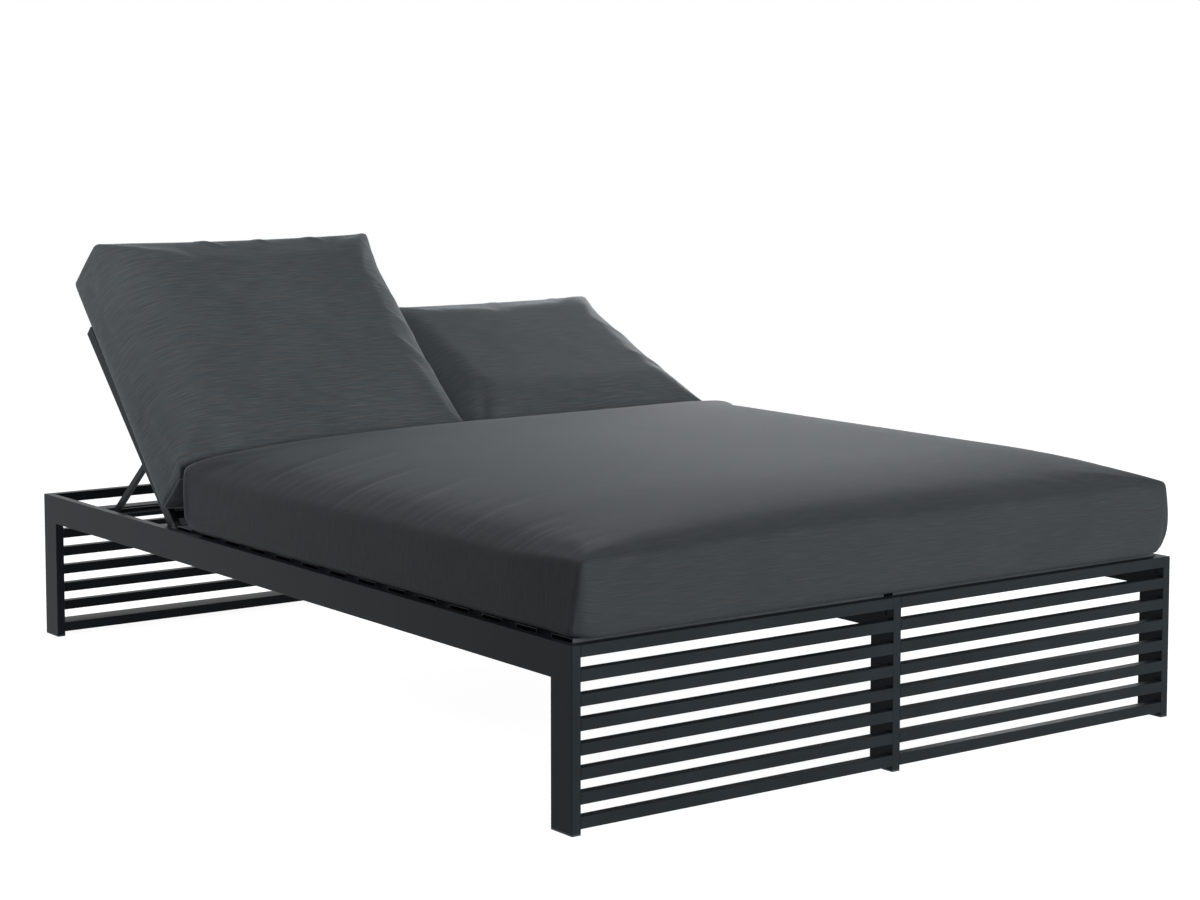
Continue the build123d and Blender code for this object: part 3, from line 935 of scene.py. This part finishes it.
stitch_group = stitch_nodes("stitches_along_row")


def stitch_row(name, points):
    """One mesh of stitches along a closed row of points."""
    count = len(points)
    mesh = bpy.data.meshes.new(name)
    mesh.from_pydata(points.tolist(), [(i, (i + 1) % count) for i in range(count)], [])
    row = show_in_scene(name, mesh)
    modifier = row.modifiers.new("stitches", "NODES")
    modifier.node_group = stitch_group
    values = {
        "Pitch": stitch_pitch,
        "Length": stitch_length,
        "Radius": stitch_radius,
        "Thread": thread,
    }
    for item in stitch_group.interface.items_tree:
        if item.in_out == "INPUT" and item.name in values:
            modifier[item.identifier] = values[item.name]
    shown = row.evaluated_get(bpy.context.evaluated_depsgraph_get())
    stitched = bpy.data.meshes.new_from_object(shown)
    row.modifiers.remove(modifier)
    row.data = stitched
    smooth_faces(stitched)
    return row


def row_on_cloth(cushion, path, end):
    """Points beside a seam, on the sleeve, each the closest one on the cloth."""
    laid = []
    for point in path:
        beside = Vector(point) - Vector((0.0, end * stitch_inset, 0.0))
        _found, place, normal, _face = cushion.closest_point_on_mesh(beside)
        laid.append(place + normal * stitch_radius * 0.5)
    return np.array([p[:] for p in laid])


def sew(cushion, steps, counts, end, name):
    """Seam lip and stitches of one end panel, in the cushion's own lying frame."""
    path = vertex_array(cushion.data)[seam_rows(steps, counts, end)]
    lip = seam_lip(name + "_lip", path, lip_half_width, lip_half_thickness, lip_sides)
    row = stitch_row(name + "_stitches", row_on_cloth(cushion, path, end))
    print(name, len(path), "seam points", len(row.data.polygons), "stitch faces")
    return [lip, row]


# %% [markdown]
# ## The mattress
# One mattress covers both seats. Its lower edges are rounded, so a dark line shows between it and
# the rails, and only at the foot end the hem hangs down to the top bar. The left side turns over a
# long slope into the crown, the right side is plumper, the foot end rounds down softly, and the
# rear end is flat, with its seam bowed up. The cover was pulled to the rear on the left, so it
# stands in at the left of the foot end and out at the left of the rear.

# %% Mattress
mattress_low, mattress_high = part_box("mattress")
mattress_overhang = 0.004
mattress_counts = (100, 156, 10)
mattress_size = {
    "half_x": (mattress_high.x - mattress_low.x) / 2 + mattress_overhang,
    "half_y": (mattress_high.y - mattress_low.y) / 2 + mattress_overhang,
    "base": 0.0006,
    "low_rim": 0.015,
    "low_rim_end": -0.003,
    "low_rim_reach": 0.08,
    "corner_rise_left": 0.013,
    "corner_rise_right": 0.018,
    "high_out_left": 0.006,
    "rim_left": 0.106,
    "rim_right": 0.143,
    "crest": 0.1755,
    "low_end_drop": 0.050,
    "high_end_drop": 0.0,
    "low_end_reach": 0.380,
    "high_end_reach": 0.020,
    "end_power": 2.0,
    "low_end_lift_left": 0.018,
    "low_end_lift_right": -0.008,
    "high_end_lift": 0.016,
    "low_lift_reach": 0.25,
    "high_lift_reach": 0.08,
    "shoulder_left": 0.72,
    "shoulder_right": 0.20,
    "shoulder_power": 2.1,
    "under_reach": 0.026,
    "belly": 0.002,
    "low_swell_right": 0.013,
    "draw_in_left": 0.002,
    "draw_in_right": 0.002,
    "left_foot_pull": 0.016,
    "right_foot_pull": -0.004,
    "taper_left": 0.0,
    "taper_right": 0.0,
    "draw_in_ends": 0.003,
    "low_corner": 0.032,
    "high_corner": 0.003,
    "crowd_x": 0.60,
    "crowd_y": 0.15,
}
# A fold is its start, its end, its height and its width.
mattress_folds = [
    ((-0.68, 0.520), (-0.56, 0.560), -0.0016, 0.0090),
    ((-0.70, 0.372), (-0.42, 0.475), -0.0027, 0.0120),
    ((-0.71, 0.100), (-0.44, 0.180), -0.0025, 0.0120),
    ((-0.66, 0.270), (-0.36, 0.370), -0.0012, 0.0150),
    ((-0.70, -0.080), (-0.42, 0.010), -0.0012, 0.0150),
    ((-0.70, -0.300), (-0.44, -0.220), -0.0014, 0.0150),
]
mattress_gathers = {"y_from": -0.62, "y_to": 0.50, "pitch": 0.034, "seed": 5}
mattress_filling = {"pressure": 2.0, "seam_shrink": 0.010, "cap": 0.005}
mattress_fold_floor = 0.100
mattress_gather_floor = 0.104


def make_mattress():
    mattress, steps = cushion_mesh("mattress_cover", mattress_counts, mattress_size)
    fill_with_air(mattress, steps, mattress_counts, **mattress_filling)
    subdivide(mattress)
    left_edge = -mattress_size["half_x"]
    add_folds(mattress, mattress_folds, mattress_fold_floor)
    add_folds(mattress, gathers(left_edge, **mattress_gathers), mattress_gather_floor)
    sewn = sew(mattress, steps, mattress_counts, 1, "mattress_rear")
    centre = (mattress_low + mattress_high) / 2
    for piece in [mattress] + sewn:
        piece.data.transform(Matrix.Translation((centre.x, centre.y, mattress_low.z)))
    mattress.data.materials.append(mattress_cloth_painted_shade)
    return mattress, sewn


mattress, mattress_seams = make_mattress()
for piece in [mattress] + mattress_seams:
    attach(piece, "base")
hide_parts("mattress")
print("mattress", len(mattress.data.polygons), "faces")

# %% [markdown]
# ## The back cushions
# Both back cushions are one pattern. Each is made lying flat at its own back rest, with x across,
# y up along the back and z out of it, and is then leaned about the pivot. They lie loose on their
# slats, so the right one, whose back stands flatter, has slid down until the mattress stops it.

# %% Back cushions
pivot_y = 0.424
pivot_z = 0.300
slat_face = 0.0163
cushion_gap = 0.002
cushion_low_end = 0.033
cushion_high_ends = {"left": 0.654, "right": 0.631}
cushion_middles = {"left": -0.3450, "right": 0.3455}
side_shapes = {
    "left": {
        "half_x": 0.3380,
        "draw_in_left": 0.002,
        "draw_in_right": -0.006,
        "taper_left": 0.017,
        "taper_right": 0.008,
    },
    "right": {
        "half_x": 0.3355,
        "draw_in_left": 0.010,
        "draw_in_right": 0.001,
        "taper_left": 0.0,
        "taper_right": 0.018,
    },
}
slide_per_degree = 0.0025
upright_angle = 45.0
back_angles = {"left": 45.0, "right": 25.0}
back_counts = (84, 74, 14)
back_size = {
    "base": 0.0015,
    "low_rim": 0.015,
    "low_rim_end": 0.015,
    "low_rim_reach": 0.08,
    "corner_rise_left": 0.0,
    "corner_rise_right": 0.0,
    "high_out_left": 0.0,
    "rim_left": 0.088,
    "rim_right": 0.100,
    "crest": 0.176,
    "low_end_drop": 0.066,
    "high_end_drop": 0.030,
    "low_end_reach": 0.190,
    "high_end_reach": 0.100,
    "end_power": 1.7,
    "low_end_lift_left": 0.055,
    "low_end_lift_right": 0.055,
    "high_end_lift": 0.050,
    "low_lift_reach": 0.260,
    "high_lift_reach": 0.120,
    "shoulder_left": 0.135,
    "shoulder_right": 0.090,
    "shoulder_power": 2.2,
    "under_reach": 0.030,
    "belly": 0.002,
    "low_swell_right": 0.0,
    "left_foot_pull": 0.0,
    "right_foot_pull": 0.0,
    "draw_in_ends": 0.006,
    "low_corner": 0.018,
    "high_corner": 0.010,
    "crowd_x": 0.35,
    "crowd_y": 0.35,
}
back_filling = {"pressure": 2.5, "seam_shrink": 0.014, "cap": 0.006}
back_fold_floor = 0.06
left_folds = [
    ((-0.105, 0.308), (-0.040, 0.258), 0.0030, 0.007),
    ((0.040, 0.306), (0.072, 0.272), 0.0022, 0.006),
    ((0.165, 0.306), (0.212, 0.266), 0.0025, 0.007),
    ((0.290, 0.270), (0.340, 0.220), 0.0010, 0.009),
    ((0.270, 0.150), (0.340, 0.090), 0.0013, 0.010),
    ((0.255, 0.060), (0.340, -0.005), 0.0020, 0.010),
    ((0.230, -0.010), (0.345, -0.120), 0.0038, 0.014),
]
right_folds = [
    ((-0.300, -0.270), (-0.215, -0.090), -0.0080, 0.026),
    ((0.245, 0.120), (0.350, 0.050), 0.0024, 0.012),
    ((0.235, -0.020), (0.350, -0.090), 0.0030, 0.013),
    ((0.020, 0.306), (0.060, 0.270), 0.0020, 0.008),
    ((0.200, 0.306), (0.235, 0.272), 0.0020, 0.007),
]


def place_on_back(mesh, name):
    """Lay the mesh on its back rest at the photograph's angle, slid down as that angle asks."""
    angle = back_angles[name]
    slide = (angle - upright_angle) * slide_per_degree
    middle = (cushion_low_end + cushion_high_ends[name]) / 2 + slide
    lying = Matrix.Translation((cushion_middles[name], middle, slat_face))
    lean = Matrix.Rotation(math.radians(angle), 4, "X")
    pivot = Matrix.Translation((0.0, pivot_y, pivot_z))
    mesh.transform(pivot @ lean @ lying)


def make_back_cushion(name, folds):
    half_y = (cushion_high_ends[name] - cushion_low_end) / 2 - cushion_gap
    size = dict(back_size, half_y=half_y, **side_shapes[name])
    cushion, steps = cushion_mesh(name + "_back_cover", back_counts, size)
    fill_with_air(cushion, steps, back_counts, **back_filling)
    subdivide(cushion)
    add_folds(cushion, folds, back_fold_floor)
    upper = sew(cushion, steps, back_counts, 1, name + "_back_upper")
    lower = sew(cushion, steps, back_counts, -1, name + "_back_lower")
    for piece in [cushion] + upper + lower:
        place_on_back(piece.data, name)
        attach(piece, name + "_cushion")
    cushion.data.materials.append(cloth)
    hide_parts(name + "_back_cushion")
    return cushion


for name, folds in (("left", left_folds), ("right", right_folds)):
    cushion = make_back_cushion(name, folds)
    print(name, "back cushion", len(cushion.data.polygons), "faces")

# %% [markdown]
# ## Floor and light
# The product stands on white. The floor takes a soft shadow but is as white as the background to
# the camera. Most light comes from a large soft lamp far in front of the foot end. A low one at
# the right rear rakes over the mattress and draws light lines along the tops of the rails. Two
# weak ones, behind and at the left rear, part the cushions' edges from what lies behind them.

# %% Floor, world and lamps
floor_size = 40.0
paper_grey = (0.85, 0.85, 0.85, 1.0)
paper_glow = 1.9
paper_glow_share = 0.50
sky_strength = 0.13
sky_colour = (0.94, 0.97, 1.0, 1.0)
white_backdrop = (1.0, 1.0, 1.0, 1.0)
neutral = (1.0, 1.0, 1.0)
cool = (0.97, 0.985, 1.0)
# Each lamp: name, place, aim, size in metres, power in watts, colour
lamps = [
    ("right_rear", (2.0, 1.6, 1.1), (0.0, 0.0, 0.45), (1.2, 0.7), 31.0, neutral),
    ("behind", (0.2, 3.2, 2.0), (0.0, 0.0, 0.4), (2.4, 1.0), 9.0, neutral),
    ("left_rear", (-1.7, 1.0, 1.4), (-0.6, 0.7, 0.6), (0.7, 0.7), 10.5, neutral),
    ("foot_fill", (0.8, -6.0, 1.7), (0.1, 0.0, 0.4), (3.2, 2.0), 265.0, cool),
]


def seen_by(tree, *kinds):
    """1 for rays of any of the kinds, and 0 for the others."""
    rays = tree.nodes.new("ShaderNodeLightPath")
    found = rays.outputs[kinds[0]]
    for kind in kinds[1:]:
        larger = add(tree, "ShaderNodeMath", {"operation": "MAXIMUM"})
        tree.links.new(found, larger.inputs[0])
        link(tree, rays, kind, larger, 1)
        found = larger.outputs["Value"]
    return found


def blended(tree, share, first, second, output):
    """Join two shaders' outputs by a share, 0 for the first, and show the result."""
    blend = tree.nodes.new("ShaderNodeMixShader")
    tree.links.new(share, blend.inputs[0])
    tree.links.new(first, blend.inputs[1])
    tree.links.new(second, blend.inputs[2])
    link(tree, blend, "Shader", output, "Surface")


def make_floor():
    bpy.ops.mesh.primitive_plane_add(size=floor_size, location=(0.0, 0.0, 0.0))
    floor = bpy.context.object
    floor.name = "floor"
    material = bpy.data.materials.new("white_floor")
    material.use_nodes = True
    tree = material.node_tree
    tree.nodes.clear()
    output = tree.nodes.new("ShaderNodeOutputMaterial")
    paper = add(tree, "ShaderNodeBsdfDiffuse", Color=paper_grey)
    white = add(tree, "ShaderNodeEmission", Strength=paper_glow)
    shown = seen_by(tree, "Is Camera Ray", "Is Glossy Ray")
    share = add(tree, "ShaderNodeMath", {"operation": "MULTIPLY"})
    tree.links.new(shown, share.inputs[0])
    share.inputs[1].default_value = paper_glow_share
    glow = white.outputs["Emission"]
    blended(tree, share.outputs["Value"], paper.outputs["BSDF"], glow, output)
    floor.data.materials.append(material)


def make_world():
    world = bpy.data.worlds.new("studio")
    bpy.context.scene.world = world
    world.use_nodes = True
    tree = world.node_tree
    tree.nodes.clear()
    output = tree.nodes.new("ShaderNodeOutputWorld")
    soft = add(tree, "ShaderNodeBackground", Strength=sky_strength, Color=sky_colour)
    white = add(tree, "ShaderNodeBackground", Strength=1.0, Color=white_backdrop)
    shown = seen_by(tree, "Is Camera Ray", "Is Glossy Ray", "Is Transmission Ray")
    blended(tree, shown, soft.outputs["Background"], white.outputs["Background"], output)


def area_lamp(name, place, aim, size, power, colour):
    lamp = bpy.data.lights.new(name, "AREA")
    lamp.shape = "RECTANGLE"
    lamp.size, lamp.size_y = size
    lamp.energy = power
    lamp.color = colour
    holder = bpy.data.objects.new(name, lamp)
    holder.location = place
    direction = Vector(aim) - Vector(place)
    holder.rotation_euler = direction.to_track_quat("-Z", "Y").to_euler()
    holder.visible_camera = False
    bpy.context.scene.collection.objects.link(holder)


bpy.context.scene.view_settings.view_transform = "Standard"
make_floor()
make_world()
for lamp in lamps:
    area_lamp(*lamp)
print("lamps", len(lamps))
